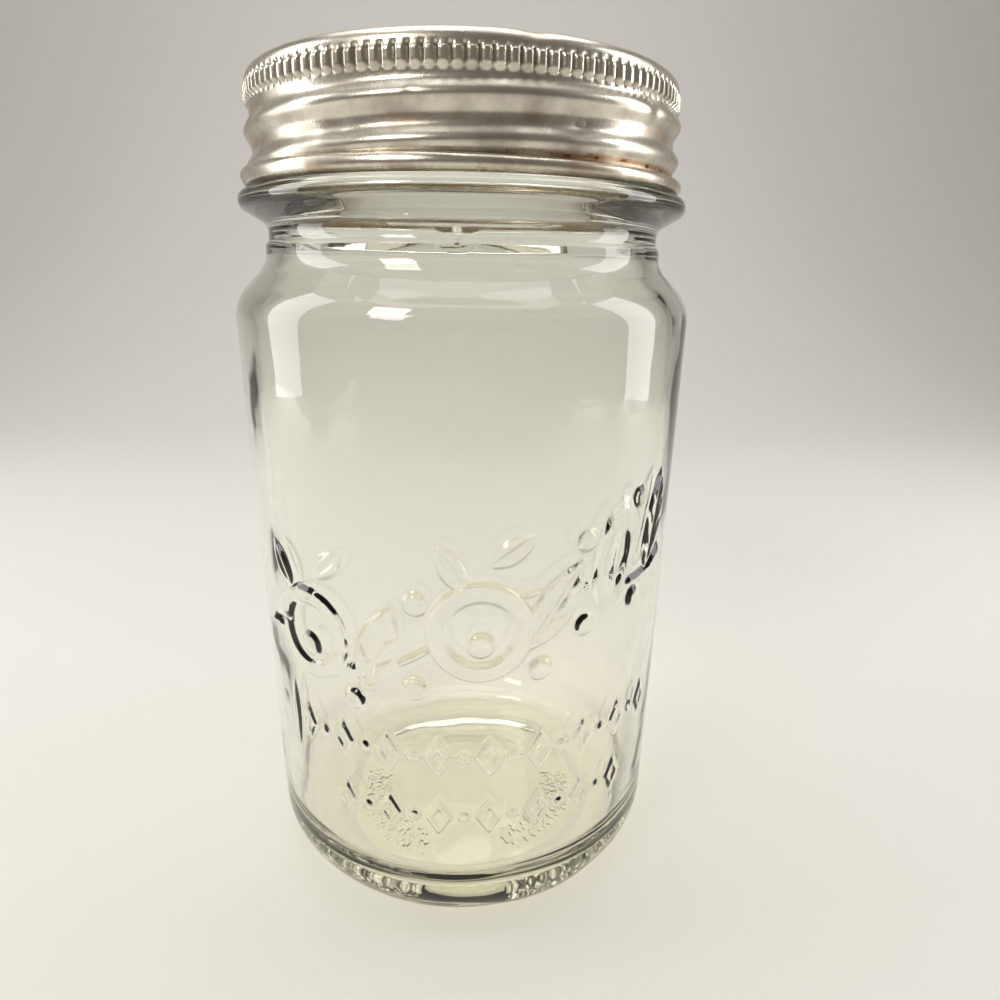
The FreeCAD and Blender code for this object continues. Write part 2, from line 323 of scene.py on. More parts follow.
@dataclass(frozen=True)
class Helix:
    """A right-hand thread. Its turns count from +X, and negative ones lie below turn 0."""

    crest: float          # height of its crest at turn 0
    pitch: float
    start: float          # turn where it starts
    end: float
    fade: float = 0.12    # turns over which an end sinks away

    def rise(self, angle: float, z: float, half: float, section: Callable[[float], float]) -> float:
        """Height of the thread over its wall.

        Args:
            angle: degrees round from +X.
            z: height in millimetres.
            half: half of the thread's width.
            section: gives the height at a distance from the crest, up to half.

        Returns:
            The height over the wall, 0 away from the thread.
        """
        best = 0.0
        for lap in range(floor(self.start), ceil(self.end) + 1):
            turn = angle / 360 + lap
            if self.start < turn < self.end:
                off = abs(z - self.crest - self.pitch * turn)
                if off < half:
                    taper = smooth(min(turn - self.start, self.end - turn) / self.fade)
                    best = max(best, section(off) * taper)
        return best


# ---------------------------------------------------------------- finishes


@dataclass(frozen=True)
class PressedGlass:
    """Soda-lime glass pressed in an iron mould.

    It is clear and hard, and straw-coloured only where light runs a long way in it. Its skin keeps the
    mould's faint orange peel, and washing has left it a little dull in places.
    """

    name: str
    skin: str = "#FCFCF9"
    depth: str = "#E3E1AE"       # what white light turns to over tint_path
    tint_path: float = 70.0      # mm
    ior: float = 1.52
    roughness: float = 0.01
    shade: str = "#F4F4F1"       # what a lamp ray keeps at each surface
    smear: float = 22.0          # mm across a smear left by washing
    smear_roughness: float = 0.06
    peel: float = 9.0            # mm from wave to wave of the orange peel
    peel_depth: float = 0.6      # mm
    peel_strength: float = 0.12

    def make(self) -> bpy.types.Material:
        """Builds the material.

        Returns:
            The glass, to be given to one closed mesh.
        """
        material, tree = new_material(self.name)
        place = add_node(tree, "ShaderNodeTexCoord").outputs["Object"]
        waves = add_node(tree, "ShaderNodeTexNoise", {"Scale": 1 / (self.peel * MM), "Detail": 1.0},
                         {"Vector": place})
        bump = add_node(tree, "ShaderNodeBump",
                        {"Strength": self.peel_strength, "Distance": self.peel_depth * MM},
                        {"Height": waves.outputs["Fac"]})
        smears = add_node(tree, "ShaderNodeTexNoise", {"Scale": 1 / (self.smear * MM), "Detail": 5.0},
                          {"Vector": place})
        # Only the upper part of the noise is a smear, so most of the glass stays clean.
        film = add_node(tree, "ShaderNodeMapRange",
                        {"From Min": 0.5, "From Max": 0.8,
                         "To Min": self.roughness, "To Max": self.smear_roughness},
                        {"Value": smears.outputs["Fac"]})
        glass = add_node(tree, "ShaderNodeBsdfPrincipled",
                         {"Base Color": colour(self.skin), "IOR": self.ior, "Transmission Weight": 1.0},
                         {"Normal": bump.outputs["Normal"], "Roughness": film.outputs[0]})
        # Lamp rays go straight through, so that the floor under the glass is lit.
        clear = add_node(tree, "ShaderNodeBsdfTransparent", {"Color": colour(self.shade)})
        ray = add_node(tree, "ShaderNodeLightPath")
        surface = add_node(tree, "ShaderNodeMixShader", None,
                           {0: ray.outputs["Is Shadow Ray"], 1: glass.outputs["BSDF"],
                            2: clear.outputs["BSDF"]})
        inside = add_node(tree, "ShaderNodeVolumeAbsorption",
                          {"Color": colour(self.depth), "Density": 1 / (self.tint_path * MM)})
        add_node(tree, "ShaderNodeOutputMaterial", None,
                 {"Surface": surface.outputs["Shader"], "Volume": inside.outputs["Volume"]})
        return material


@dataclass(frozen=True)
class TinnedSteel:
    """Thin steel sheet, tinned, stamped and rolled.

    The tin is pale and warm with soft, blotchy gloss. Where water sat, in the grooves and inside the
    curl, the tin has gone and brown rust shows. The paint attribute "groove" says where that is.
    """

    name: str = "tinned_steel_sheet"
    tin: str = "#DAD4C6"
    dull: str = "#A39B8E"
    rust: str = "#6B4428"
    stain: str = "#A57F57"
    roughness: float = 0.27
    gloss_spread: tuple[float, float] = (-0.07, 0.13)    # bright and dull patches against roughness
    rust_roughness: float = 0.85
    blotch: float = 7.0          # mm across a dull patch
    speck: float = 1.1           # mm across a rust speck
    grain: float = 0.35          # mm, the sheet's own grain, drawn coarser than it is
    wetness: float = 1.9         # evens out the noise, whose middle is 0.5
    relief: float = 0.12         # mm, height of grain and rust
    relief_strength: float = 0.16

    def wear(self, tree: bpy.types.NodeTree, place: bpy.types.NodeSocket,
             blotches: bpy.types.NodeSocket) -> tuple[bpy.types.NodeSocket, bpy.types.NodeSocket]:
        """Adds the nodes that say where the sheet is stained and where it is rusted.

        Args:
            tree: the material's node tree.
            place: a point's place on the band.
            blotches: noise that breaks up the stains.

        Returns:
            Sockets with the share of stain and of rust.
        """
        specks = add_node(tree, "ShaderNodeTexNoise", {"Scale": 1 / (self.speck * MM), "Detail": 3.0},
                          {"Vector": place})
        groove = add_node(tree, "ShaderNodeAttribute", {"attribute_name": "groove"}).outputs["Fac"]
        # A patch is stained where the groove is deep and the blotches are high.
        wet = add_node(tree, "ShaderNodeMath", {"operation": "MULTIPLY", 1: self.wetness}, {0: blotches})
        damp = add_node(tree, "ShaderNodeMath", {"operation": "MULTIPLY"}, {0: groove, 1: wet.outputs[0]})
        stained = add_node(tree, "ShaderNodeMapRange", {"From Min": 0.35, "From Max": 1.1},
                           {"Value": damp.outputs[0]})
        # Rust starts in the wettest of it, speck by speck.
        eaten = add_node(tree, "ShaderNodeMath", {"operation": "MULTIPLY"},
                         {0: damp.outputs[0], 1: specks.outputs["Fac"]})
        rusted = add_node(tree, "ShaderNodeMapRange", {"From Min": 0.5, "From Max": 0.66},
                          {"Value": eaten.outputs[0]})
        return stained.outputs[0], rusted.outputs[0]

    def make(self) -> bpy.types.Material:
        """Builds the material.

        Returns:
            The steel, to be given to a mesh that has the attribute "groove".
        """
        material, tree = new_material(self.name)
        place = add_node(tree, "ShaderNodeTexCoord").outputs["Object"]
        blotches = add_node(tree, "ShaderNodeTexNoise", {"Scale": 1 / (self.blotch * MM), "Detail": 4.0},
                            {"Vector": place}).outputs["Fac"]
        grain = add_node(tree, "ShaderNodeTexNoise", {"Scale": 1 / (self.grain * MM), "Detail": 2.0},
                         {"Vector": place})
        stained, rusted = self.wear(tree, place, blotches)
        dulled = add_node(tree, "ShaderNodeMapRange", {"From Min": 0.42, "From Max": 0.72},
                          {"Value": blotches})
        # Tin first, then the stain over it and the rust over both. A mix of colours takes them at its
        # sockets 6 and 7 and gives them at 2, and a mix of numbers takes them at 2 and 3.
        metal = add_node(tree, "ShaderNodeMix",
                         {"data_type": "RGBA", 6: colour(self.tin), 7: colour(self.dull)},
                         {0: dulled.outputs[0]})
        tea = add_node(tree, "ShaderNodeMix", {"data_type": "RGBA", 7: colour(self.stain)},
                       {0: stained, 6: metal.outputs[2]})
        skin = add_node(tree, "ShaderNodeMix", {"data_type": "RGBA", 7: colour(self.rust)},
                        {0: rusted, 6: tea.outputs[2]})
        bright, matt = self.gloss_spread
        gloss = add_node(tree, "ShaderNodeMapRange",
                         {"From Min": 0.3, "From Max": 0.75, "To Min": self.roughness + bright,
                          "To Max": self.roughness + matt}, {"Value": blotches})
        rough = add_node(tree, "ShaderNodeMix", {"data_type": "FLOAT", 3: self.rust_roughness},
                         {0: rusted, 2: gloss.outputs[0]})
        # Rust is no metal.
        share = add_node(tree, "ShaderNodeMapRange", {"To Min": 1.0, "To Max": 0.0}, {"Value": rusted})
        relief = add_node(tree, "ShaderNodeMath", {"operation": "ADD"}, {0: grain.outputs["Fac"], 1: rusted})
        bump = add_node(tree, "ShaderNodeBump",
                        {"Strength": self.relief_strength, "Distance": self.relief * MM},
                        {"Height": relief.outputs[0]})
        steel = add_node(tree, "ShaderNodeBsdfPrincipled", None,
                         {"Base Color": skin.outputs[2], "Roughness": rough.outputs[0],
                          "Metallic": share.outputs[0], "Normal": bump.outputs["Normal"]})
        add_node(tree, "ShaderNodeOutputMaterial", None, {"Surface": steel.outputs["BSDF"]})
        return material


@dataclass(frozen=True)
class StudioPaper:
    """Seamless matt paper under and behind the jar, pale and plain."""

    name: str = "seamless_paper"
    tone: str = "#D6D4CF"
    roughness: float = 0.85

    def make(self) -> bpy.types.Material:
        """Builds the material.

        Returns:
            The paper.
        """
        material, tree = new_material(self.name)
        paper = add_node(tree, "ShaderNodeBsdfPrincipled",
                         {"Base Color": colour(self.tone), "Roughness": self.roughness})
        add_node(tree, "ShaderNodeOutputMaterial", None, {"Surface": paper.outputs["BSDF"]})
        return material


# ---------------------------------------------------------------- ornament


@dataclass(frozen=True)
class Raised:
    """One raised form on the jar's front."""

    kind: Motif
    turn: float           # degrees to the right of the front
    z: float              # height of its middle
    length: float
    width: float
    tilt: float = 0.0     # degrees, anticlockwise seen from the front
    share: float = 1.0    # of the ornament's full height
    edge: float = 0.95              # width of the slope at its edge
    edge_spread: float = 0.02       # more slope for each degree to the side
    side_loss: float = 0.42         # share of the height that a form at the side lacks
    side_start: float = 18.0        # degrees from the front where that loss starts
    side_span: float = 25.0         # degrees over which it grows

    @property
    def slope(self) -> float:
        """Width of its edge's slope, gentler at the sides, where the mould's halves draw past it."""
        return self.edge + self.edge_spread * abs(self.turn)

    @property
    def reach(self) -> float:
        """Distance from its middle beyond which it is flat."""
        return max(self.length, self.width) / 2 + 1.0

    def local(self, wall: float, turn: float, z: float) -> tuple[float, float]:
        """Measures a place on the wall from the form's middle.

        Args:
            wall: the wall's radius.
            turn: degrees to the right of the front.
            z: height.

        Returns:
            Millimetres along the form's length and across it.
        """
        u, v = wall * radians(turn - self.turn), z - self.z
        lean = radians(self.tilt)
        return u * cos(lean) + v * sin(lean), v * cos(lean) - u * sin(lean)

    def rise(self, wall: float, turn: float, z: float) -> float:
        """Share of the full relief at a place on the wall.

        Args:
            wall: the wall's radius.
            turn: degrees to the right of the front.
            z: height.

        Returns:
            0 on the bare wall and up to 1 on the form.
        """
        a, b = self.local(wall, turn, z)
        depth = self.inside(a, b)
        if depth <= 0:
            return 0.0
        lower = 1 - self.side_loss * smooth((abs(self.turn) - self.side_start) / self.side_span)
        return self.share * lower * smooth(depth / self.slope) * (1 - self.hollow(a, b, depth))

    def inside(self, a: float, b: float) -> float:
        """How far a point lies inside the form's edge, in millimetres.

        Args:
            a: place along the form's length.
            b: place across it.

        Returns:
            The distance, negative outside.
        """
        long, wide = self.length / 2, self.width / 2
        if self.kind in (Motif.LEAF, Motif.LEAFLET):
            # Two bows that meet in a point at each end.
            bow = (long ** 2 + wide ** 2) / (2 * wide)
            return bow - hypot(a, abs(b) + bow - wide)
        if self.kind is Motif.LOZENGE:
            return (1 - abs(a) / long - abs(b) / wide) * long * wide / hypot(long, wide)
        return (1 - hypot(a / long, b / wide)) * min(long, wide)

    def hollow(self, a: float, b: float, depth: float) -> float:
        """Share by which the middle of the form falls back, as a vein, a crease or a sunk field.

        Args:
            a: place along the form's length.
            b: place across it.
            depth: distance from the form's edge.

        Returns:
            0 where the form keeps its height.
        """
        tip = self.length / 2 - abs(a)
        if self.kind is Motif.LEAF:
            # A groove along the middle, and veins that slant from it towards the edge.
            vein_step, vein_slant, border = 5.2, 1.1, 0.9
            along = (a - vein_slant * abs(b)) % vein_step
            veins = 0.5 * bell(along - vein_step / 2, 0.8) * smooth((depth - border) / 0.9)
            return 0.7 * max(bell(b, 0.75) * smooth(tip / 3), veins)
        if self.kind is Motif.LEAFLET:
            return 0.6 * bell(b, 0.7) * smooth(tip / 2)
        if self.kind is Motif.FRUIT:
            # A sunk ring inside the rim, round a heart that stands a little below the middle.
            rim, heart, heart_place = 3.4, 2.9, -0.12
            off = hypot(a, b - self.width * heart_place)
            return 0.8 * smooth((depth - rim) / 1.4) * (1 - smooth((heart - off) / 1.1))
        if self.kind is Motif.PLUM:
            # A sunk field with a bent ridge along it.
            rim, bend = 2.6, 0.004
            return 0.8 * smooth((depth - rim) / 1.3) * (1 - bell(b - bend * a * a, 0.9))
        if self.kind is Motif.LOZENGE:
            border = 1.1
            return 0.7 * smooth((depth - border) / 0.9)
        return 0.0


@dataclass(frozen=True)
class Ornament:
    """A rising spray of fruit and leaves over two borders of lozenges and beads, on the front.

    Places are in degrees to the right of the front and in millimetres over the spray's line, and a third
    number is the form's tilt in degrees. Sizes are length and width.
    """

    relief: float = 1.1
    spray_height: float = 72.0
    spray_rise: float = 0.2       # mm up for each degree to the right
    fruit: float = 21.0
    plum: tuple[float, float] = (25.0, 12.0)
    leaf: tuple[float, float] = (22.0, 9.5)
    leaflet: tuple[float, float] = (11.0, 5.5)
    tendril: tuple[float, float] = (19.0, 3.4)
    berry: float = 5.6
    lozenge: tuple[float, float] = (6.4, 10.4)
    bead: float = 3.2
    fruits: tuple = ((-40.0, 4.0), (3.5, 0.5))
    plums: tuple = ((37.5, 5.0, 80.0),)
    leaves: tuple = ((-20.5, 0.0, 72.0), (21.0, 1.0, 55.0), (54.0, 6.0, 76.0))
    leaflets: tuple = ((-50.0, 18.5, 125.0), (-33.0, 18.0, 40.0), (10.5, 15.0, 35.0), (-3.0, 14.5, 118.0))
    tendrils: tuple = ((-50.0, -16.0, 90.0),)
    berries: tuple = ((-27.0, -10.0), (-11.0, 9.0), (-11.5, -8.5), (17.5, -11.0), (29.0, -6.0), (28.5, 11.5),
                      (46.0, -7.5), (45.5, 14.0))
    borders: tuple = ((46.2, 9), (31.8, 7))      # height, and how many lozenges
    border_middle: float = 6.0
    border_step: float = 12.5     # degrees from lozenge to lozenge
    border_share: float = 0.62    # of the full relief
    stem_width: float = 1.9
    stem_rise: float = 1.0        # over the spray's line
    stem_wave: float = 4.5        # height of its winding
    stem_turns: float = 5.0       # windings in a full turn of the jar
    stem_phase: float = 20.0      # degrees
    stem_share: float = 0.75      # of the full relief
    stem_edge: float = 0.8        # width of its edge's slope
    stem_end: float = 60.0        # degrees each side where it ends
    margin: float = 1.4           # width of the finely cut wall around a form
    stem_margin: float = 1.2
    degree: float = 0.8           # mm along the wall for one degree, rounded down
    reach: float = 66.0           # degrees each side of the front; nothing is raised past it
    low: float = 24.0             # nor below or above these heights
    high: float = 106.0

    def forms(self) -> list[Raised]:
        """Places the raised forms.

        Returns:
            All raised forms of the front.
        """
        forms: list[Raised] = []

        def on_spray(kind: Motif, turn: float, rise: float, size: tuple[float, float],
                     tilt: float = 0.0) -> None:
            """Adds a form at its place on the rising spray."""
            forms.append(Raised(kind, turn, self.spray_height + self.spray_rise * turn + rise, *size, tilt))

        for turn, rise in self.fruits:
            on_spray(Motif.FRUIT, turn, rise, (self.fruit, self.fruit))
        for turn, rise, tilt in self.plums:
            on_spray(Motif.PLUM, turn, rise, self.plum, tilt)
        for turn, rise, tilt in self.leaves:
            on_spray(Motif.LEAF, turn, rise, self.leaf, tilt)
        for turn, rise, tilt in self.leaflets:
            on_spray(Motif.LEAFLET, turn, rise, self.leaflet, tilt)
        for turn, rise, tilt in self.tendrils:
            on_spray(Motif.LEAFLET, turn, rise, self.tendril, tilt)
        for turn, rise in self.berries:
            on_spray(Motif.BERRY, turn, rise, (self.berry, self.berry))
        for z, count in self.borders:
            for i in range(count):
                turn = self.border_middle + (i - (count - 1) / 2) * self.border_step
                forms.append(Raised(Motif.LOZENGE, turn, z, *self.lozenge, share=self.border_share))
                if i:
                    forms.append(Raised(Motif.BEAD, turn - self.border_step / 2, z, self.bead, self.bead,
                                        share=self.border_share))
        return forms

    def stem(self, wall: float, turn: float, z: float, spare: float = 0.0) -> float:
        """Share of the relief of the thin stem that winds behind the fruit.

        Args:
            wall: the wall's radius.
            turn: degrees to the right of the front.
            z: height.
            spare: millimetres added to each side of the stem.

        Returns:
            0 to 1.
        """
        phase = radians(turn * self.stem_turns + self.stem_phase)
        middle = self.spray_height + self.spray_rise * turn + self.stem_rise + self.stem_wave * sin(phase)
        climb = self.spray_rise + self.stem_wave * radians(self.stem_turns) * cos(phase)
        off = abs(z - middle) / sqrt(1 + (climb / (wall * radians(1))) ** 2)
        ends = smooth((self.stem_end - abs(turn)) / 3)
        return self.stem_share * smooth((self.stem_width / 2 + spare - off) / self.stem_edge) * ends

    def near(self, forms: list[Raised], wall: float, turn: float, z: float) -> bool:
        """Tells whether a place on the wall lies on or beside a raised form.

        Args:
            forms: all raised forms.
            wall: the wall's radius.
            turn: degrees to the right of the front.
            z: height.

        Returns:
            True where the wall needs fine faces.
        """
        if abs(turn) > self.reach or not self.low < z < self.high:
            return False
        beside = any(form.inside(*form.local(wall, turn, z)) > -self.margin for form in forms)
        return beside or self.stem(wall, turn, z, self.stem_margin) > 0

    def height(self, forms: list[Raised], wall: float, turn: float, z: float) -> float:
        """Relief in millimetres at a place on the wall.

        Args:
            forms: all raised forms.
            wall: the wall's radius.
            turn: degrees to the right of the front.
            z: height.

        Returns:
            Millimetres over the wall.
        """
        if abs(turn) > self.reach or not self.low < z < self.high:
            return 0.0
        covered = [form for form in forms
                   if max(abs(z - form.z), abs(turn - form.turn) * self.degree) < form.reach]
        share = max((form.rise(wall, turn, z) for form in covered), default=0.0)
        # The stem passes behind the large forms.
        large = any(form.kind in (Motif.FRUIT, Motif.PLUM, Motif.LEAF) for form in covered)
        if not (large and share > 0):
            share = max(share, self.stem(wall, turn, z))
        return self.relief * share


# ---------------------------------------------------------------- sub-assemblies


@dataclass
class Jar:
    """The pressed jar: foot, heel, ornamented body, shoulder, neck, transfer ring and threaded finish."""

    finish_radius: float = 41.2
    finish_wall: float = 3.5
    finish_height: float = 15.7
    lip_round: float = 1.1
    neck_relief: float = 0.8
    land_step: float = 0.7
    land_height: float = 1.5
    land_round: float = 0.4
    ring_rise: float = 9.3
    ring_round: float = 2.0
    ring_overhang: float = 4.5
    ring_undercut: float = 30.0
    ring_fillet: float = 2.2
    finish_fillet: float = 0.6
    shoulder_overhang: float = 6.8
    shoulder_slope: float = 43.0
    shoulder_round: float = 9.0
    shoulder_hollow: float = 5.0
    body_height: float = 126.3
    body_draft: float = 2.0
    body_wall: float = 3.1
    heel_round: float = 13.7
    foot_width: float = 2.6
    push_up: float = 3.2
    base_thickness: float = 5.0
    inner_heel_round: float = 10.5
    thread_pitch: float = 6.35
    thread_round: float = 1.3
    thread_top_drop: float = 2.8
    thread_turns: tuple[float, float] = (-1.40, -0.10)
    row: float = 1.4              # between rows where the ornament is
    columns: int = 204
    cuts: int = 3                 # cuts across each face near a raised form
    ripple: float = 2.7           # from wave to wave inside the neck
    ripple_depth: float = 0.22
    ripple_wander: float = 1.3    # radians that a wave runs up and down on its way round
    mark: tuple[float, float] = (-1.8, 141.6)    # degrees and height of the mould's mark
    mark_size: tuple[float, float] = (0.7, 1.3)  # half of its width and of its height
    mark_relief: float = 0.5
    waves: tuple = ((26.0, 0.9), (7.0, 0.12))    # size and depth of the waves inside
    stipple: float = 1.1          # from grain to grain under the foot
    stipple_depth: float = 0.9
    stipple_ring: tuple[float, float] = (19.5, 28.4)
    stipple_gap: float = 6.5      # half of the bare strip between its two patches
    stipple_back: float = 4.0     # how far back the patches reach
    lip_z: float = field(default_factory=lambda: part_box("jar")[1][2] / MM)
    ornament: Ornament = field(default_factory=Ornament)
    glass: PressedGlass = field(default_factory=lambda: PressedGlass("pressed_soda_lime_glass"))

    @property
    def ring_z(self) -> float:
        """Height of the transfer ring's middle."""
        return self.lip_z - self.finish_height - self.ring_round

    @property
    def land_radius(self) -> float:
        """Radius of the neck's foot."""
        return self.finish_radius - self.neck_relief + self.land_step

    @property
    def body_radius(self) -> float:
        """Radius of the body at the shoulder."""
        return self.land_radius + self.shoulder_overhang

    @property
    def wall_middle(self) -> float:
        """Radius between the body's inner wall and its outer one, at any height."""
        return self.body_radius - self.body_wall

    @property
    def mouth(self) -> float:
        """Radius of the mouth."""
        return self.finish_radius - self.finish_wall

    @property
    def shoulder_end(self) -> float:
        """Height where the shoulder meets the neck's foot."""
        return self.ring_z - self.ring_rise

    @property
    def thread(self) -> Helix:
        """The thread on the finish."""
        return Helix(self.lip_z - self.thread_top_drop, self.thread_pitch, *self.thread_turns)

    @property
    def draft(self) -> float:
        """Angle of the body's taper, in radians."""
        return asin(self.body_draft / hypot(self.body_height, self.body_draft))

    def wall_radius(self, z: float) -> float:
        """Outer radius of the straight wall at a height."""
        return self.body_radius - (self.body_height - z) * tan(self.draft)

    def heel(self, radius: float, floor_z: float, inset: float) -> tuple[float, float]:
        """Centre of an arc between a level floor and the wall taken in by inset."""
        z = floor_z + radius
        return self.wall_radius(z) - (inset + radius) / cos(self.draft), z

    def profile(self) -> Profile:
        """Draws the jar's outline.

        Returns:
            Its line under the foot, up the outside, over the lip and down the inside.
        """
        draft = degrees(self.draft)
        heel = self.heel(self.heel_round, 0, 0)
        foot_inner = heel[0] - self.foot_width
        push = (foot_inner ** 2 + self.push_up ** 2) / (2 * self.push_up)
        hollow = (self.land_radius + self.shoulder_hollow, self.shoulder_end)
        crown = (self.body_radius - self.shoulder_round * cos(self.draft),
                 self.body_height + self.shoulder_round * sin(self.draft))
        land_top = self.shoulder_end + self.land_height
        land = (self.land_radius - self.land_round, land_top - self.land_round)
        neck = self.finish_radius - self.neck_relief
        undercut = radians(self.ring_undercut)
        ring = (self.finish_radius + self.ring_overhang - self.ring_round, self.ring_z)
        fillet_r = neck + self.ring_fillet
        slant = (ring[0] - fillet_r + (self.ring_round + self.ring_fillet) * sin(undercut)) / cos(undercut)
        fillet_z = self.ring_z - (self.ring_round + self.ring_fillet) * cos(undercut) - slant * sin(undercut)
        finish_foot = self.ring_z + self.ring_round
        finish = (self.finish_radius + self.finish_fillet, finish_foot + self.finish_fillet)
        lip_middle = self.lip_z - self.lip_round
        floor_z = self.push_up + self.base_thickness
        inner_heel = self.heel(self.inner_heel_round, floor_z, self.body_wall)
        coarse, medium = 6.0, 1.5

        outline = Profile(0, self.push_up)
        outline.arc((0, self.push_up - push), push, 90, 90 - degrees(asin(foot_inner / push)), step=1.1)
        outline.arc(heel, self.heel_round, -90, -draft, step=1.2)
        outline.line(self.wall_radius(self.ornament.low), self.ornament.low, coarse)
        outline.line(self.wall_radius(self.ornament.high), self.ornament.high, self.row)
        outline.line(self.wall_radius(self.body_height), self.body_height, coarse)
        outline.arc(crown, self.shoulder_round, -draft, self.shoulder_slope, step=1.0)
        outline.arc(hollow, self.shoulder_hollow, 180 + self.shoulder_slope, 180, step=0.6)
        outline.line(self.land_radius, land[1])
        outline.arc(land, self.land_round, 0, 60, step=0.2)
        outline.line(neck, land_top + self.land_step)
        outline.arc((fillet_r, fillet_z), self.ring_fillet, 180, 90 + self.ring_undercut, step=0.5)
        outline.arc(ring, self.ring_round, self.ring_undercut - 90, 90, step=0.55)
        outline.arc(finish, self.finish_fillet, 270, 180, step=0.3)
        outline.line(self.finish_radius, lip_middle, step=0.7)
        outline.arc((self.finish_radius - self.lip_round, lip_middle), self.lip_round, 0, 90, step=0.5)
        outline.arc((self.mouth + self.lip_round, lip_middle), self.lip_round, 90, 180, step=0.5)
        outline.line(self.mouth, self.ring_z, medium)
        outline.line(self.mouth, self.shoulder_end + 1.5, step=0.6)
        outline.arc(hollow, self.shoulder_hollow + self.body_wall, 180, 180 + self.shoulder_slope, medium)
        outline.arc(crown, self.shoulder_round - self.body_wall, self.shoulder_slope, -draft, step=0.8)
        outline.line(inner_heel[0] + self.inner_heel_round * cos(self.draft), inner_heel[1], coarse)
        outline.arc(inner_heel, self.inner_heel_round, -draft, -90, step=1.5)
        outline.line(0, floor_z, step=4.0)
        return outline

    def build(self) -> bpy.types.Object:
        """Turns the jar and presses its ornament, thread, ripples and waves.

        Returns:
            The jar as one closed glass mesh.
        """
        jar = turned("jar_glass", self.profile(), self.columns)
        forms = self.ornament.forms()
        self.refine(jar, forms)
        push_out(jar, lambda r, angle, z: self.front_relief(forms, r, angle, z), self.ornament.relief)
        push_out(jar, self.thread_relief, self.thread_round)
        push_out(jar, self.neck_marks, 1.0)
        self.uneven(jar)
        return jar

    def front_relief(self, forms: list[Raised], r: float, angle: float, z: float) -> float:
        """Height of the ornament.

        Args:
            forms: all raised forms.
            r: radius.
            angle: degrees round from +X.
            z: height.

        Returns:
            Millimetres over the outer wall, and 0 inside.
        """
        if r <= self.wall_middle:
            return 0.0
        return self.ornament.height(forms, r, from_front(angle), z)

    def thread_relief(self, r: float, angle: float, z: float) -> float:
        """Height of the thread.

        Args:
            r: radius.
            angle: degrees round from +X.
            z: height.

        Returns:
            Millimetres over the finish.
        """
        if r < self.finish_radius - 0.05 or z < self.ring_z + self.ring_round + self.finish_fillet:
            return 0.0
        return self.thread.rise(angle, z, self.thread_round,
                                lambda off: sqrt(self.thread_round ** 2 - off ** 2))

    def neck_marks(self, r: float, angle: float, z: float) -> float:
        """Height of the ripples that the plunger leaves inside the neck, and of the mark in front.

        Args:
            r: radius.
            angle: degrees round from +X.
            z: height.

        Returns:
            Millimetres over the neck's surface.
        """
        if r < self.mouth + 0.3:
            wave = 0.5 + 0.5 * sin(2 * pi * z / self.ripple + self.ripple_wander * sin(radians(3 * angle)))
            low_end = smooth((z - self.shoulder_end - 1) / 2)
            return self.ripple_depth * wave * low_end * smooth((self.ring_z - z) / 2)
        if r <= self.finish_radius - 2:
            return 0.0
        turn, height = self.mark
        half_width, half_height = self.mark_size
        across = smooth((half_width - abs(r * radians(from_front(angle) - turn))) / 0.6)
        return self.mark_relief * across * smooth((half_height - abs(z - height)) / 0.8)

    def refine(self, jar: bpy.types.Object, forms: list[Raised]) -> None:
        """Cuts the faces near the raised forms finely, so that the forms get smooth edges.

        Args:
            jar: the turned jar.
            forms: all raised forms.
        """
        mark_turn, mark_z = self.mark
        mark_reach = 3.0
        only(jar)
        bpy.ops.object.mode_set(mode="EDIT")
        bpy.ops.mesh.select_mode(type="FACE")
        bpy.ops.mesh.select_all(action="DESELECT")
        bpy.ops.object.mode_set(mode="OBJECT")
        for face in jar.data.polygons:
            x, y, z = face.center / MM
            r = hypot(x, y)
            turn = front_turn(x, y)
            raised = r > self.wall_middle and self.ornament.near(forms, r, turn, z)
            off_mark = hypot(r * radians(turn - mark_turn), z - mark_z)
            marked = r > self.finish_radius - 2 and off_mark < mark_reach
            face.select = raised or marked or self.stippled(x, y, z) > 0
        bpy.ops.object.mode_set(mode="EDIT")
        bpy.ops.mesh.subdivide(number_cuts=self.cuts, quadcorner="INNERVERT", ngon=False)
        bpy.ops.mesh.select_mode(type="VERT")
        bpy.ops.object.mode_set(mode="OBJECT")

    def uneven(self, jar: bpy.types.Object) -> None:
        """Gives the inner wall the slow waves that a plunger leaves, and the foot its stipple.

        Args:
            jar: the pressed jar.
        """
        neck_start = self.body_height + 9

        def inside(x: float, y: float, z: float) -> float:
            """Share of the waves: all of them on the inner wall, and none near the lip or outside.

            Args:
                x: place to the right, seen from the front.
                y: place to the back.
                z: height.

            Returns:
                0 to 1.
            """
            widest = self.mouth + 0.3 if z > neck_start else self.wall_middle + 0.4
            if hypot(x, y) >= widest or z <= self.push_up + 2:
                return 0.0
            return smooth((self.lip_z - 3 - z) / 4)

        for size, depth in self.waves:
            waver(jar, size, depth, inside)
        waver(jar, self.stipple, self.stipple_depth, self.stippled)

    def stippled(self, x: float, y: float, z: float) -> float:
        """Share of the stipple under the foot, which lies in two patches at the front.

        Args:
            x: place to the right, seen from the front.
            y: place to the back.
            z: height.

        Returns:
            0 to 1.
        """
        if z > self.push_up + 0.01:
            return 0.0
        r = hypot(x, y)
        low, high = self.stipple_ring
        ring = smooth((r - low) / 1.5) * smooth((high - r) / 1.2)
        return ring * smooth((abs(x) - self.stipple_gap) / 3) * smooth((self.stipple_back - y) / 4)

    def dress(self, jar: bpy.types.Object) -> None:
        """Gives the jar its glass, hangs it under the root body and hides the imported jar.

        Args:
            jar: the shaped jar.
        """
        settle(jar, self.glass.make(), 50)
        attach(jar, "root")
        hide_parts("jar")


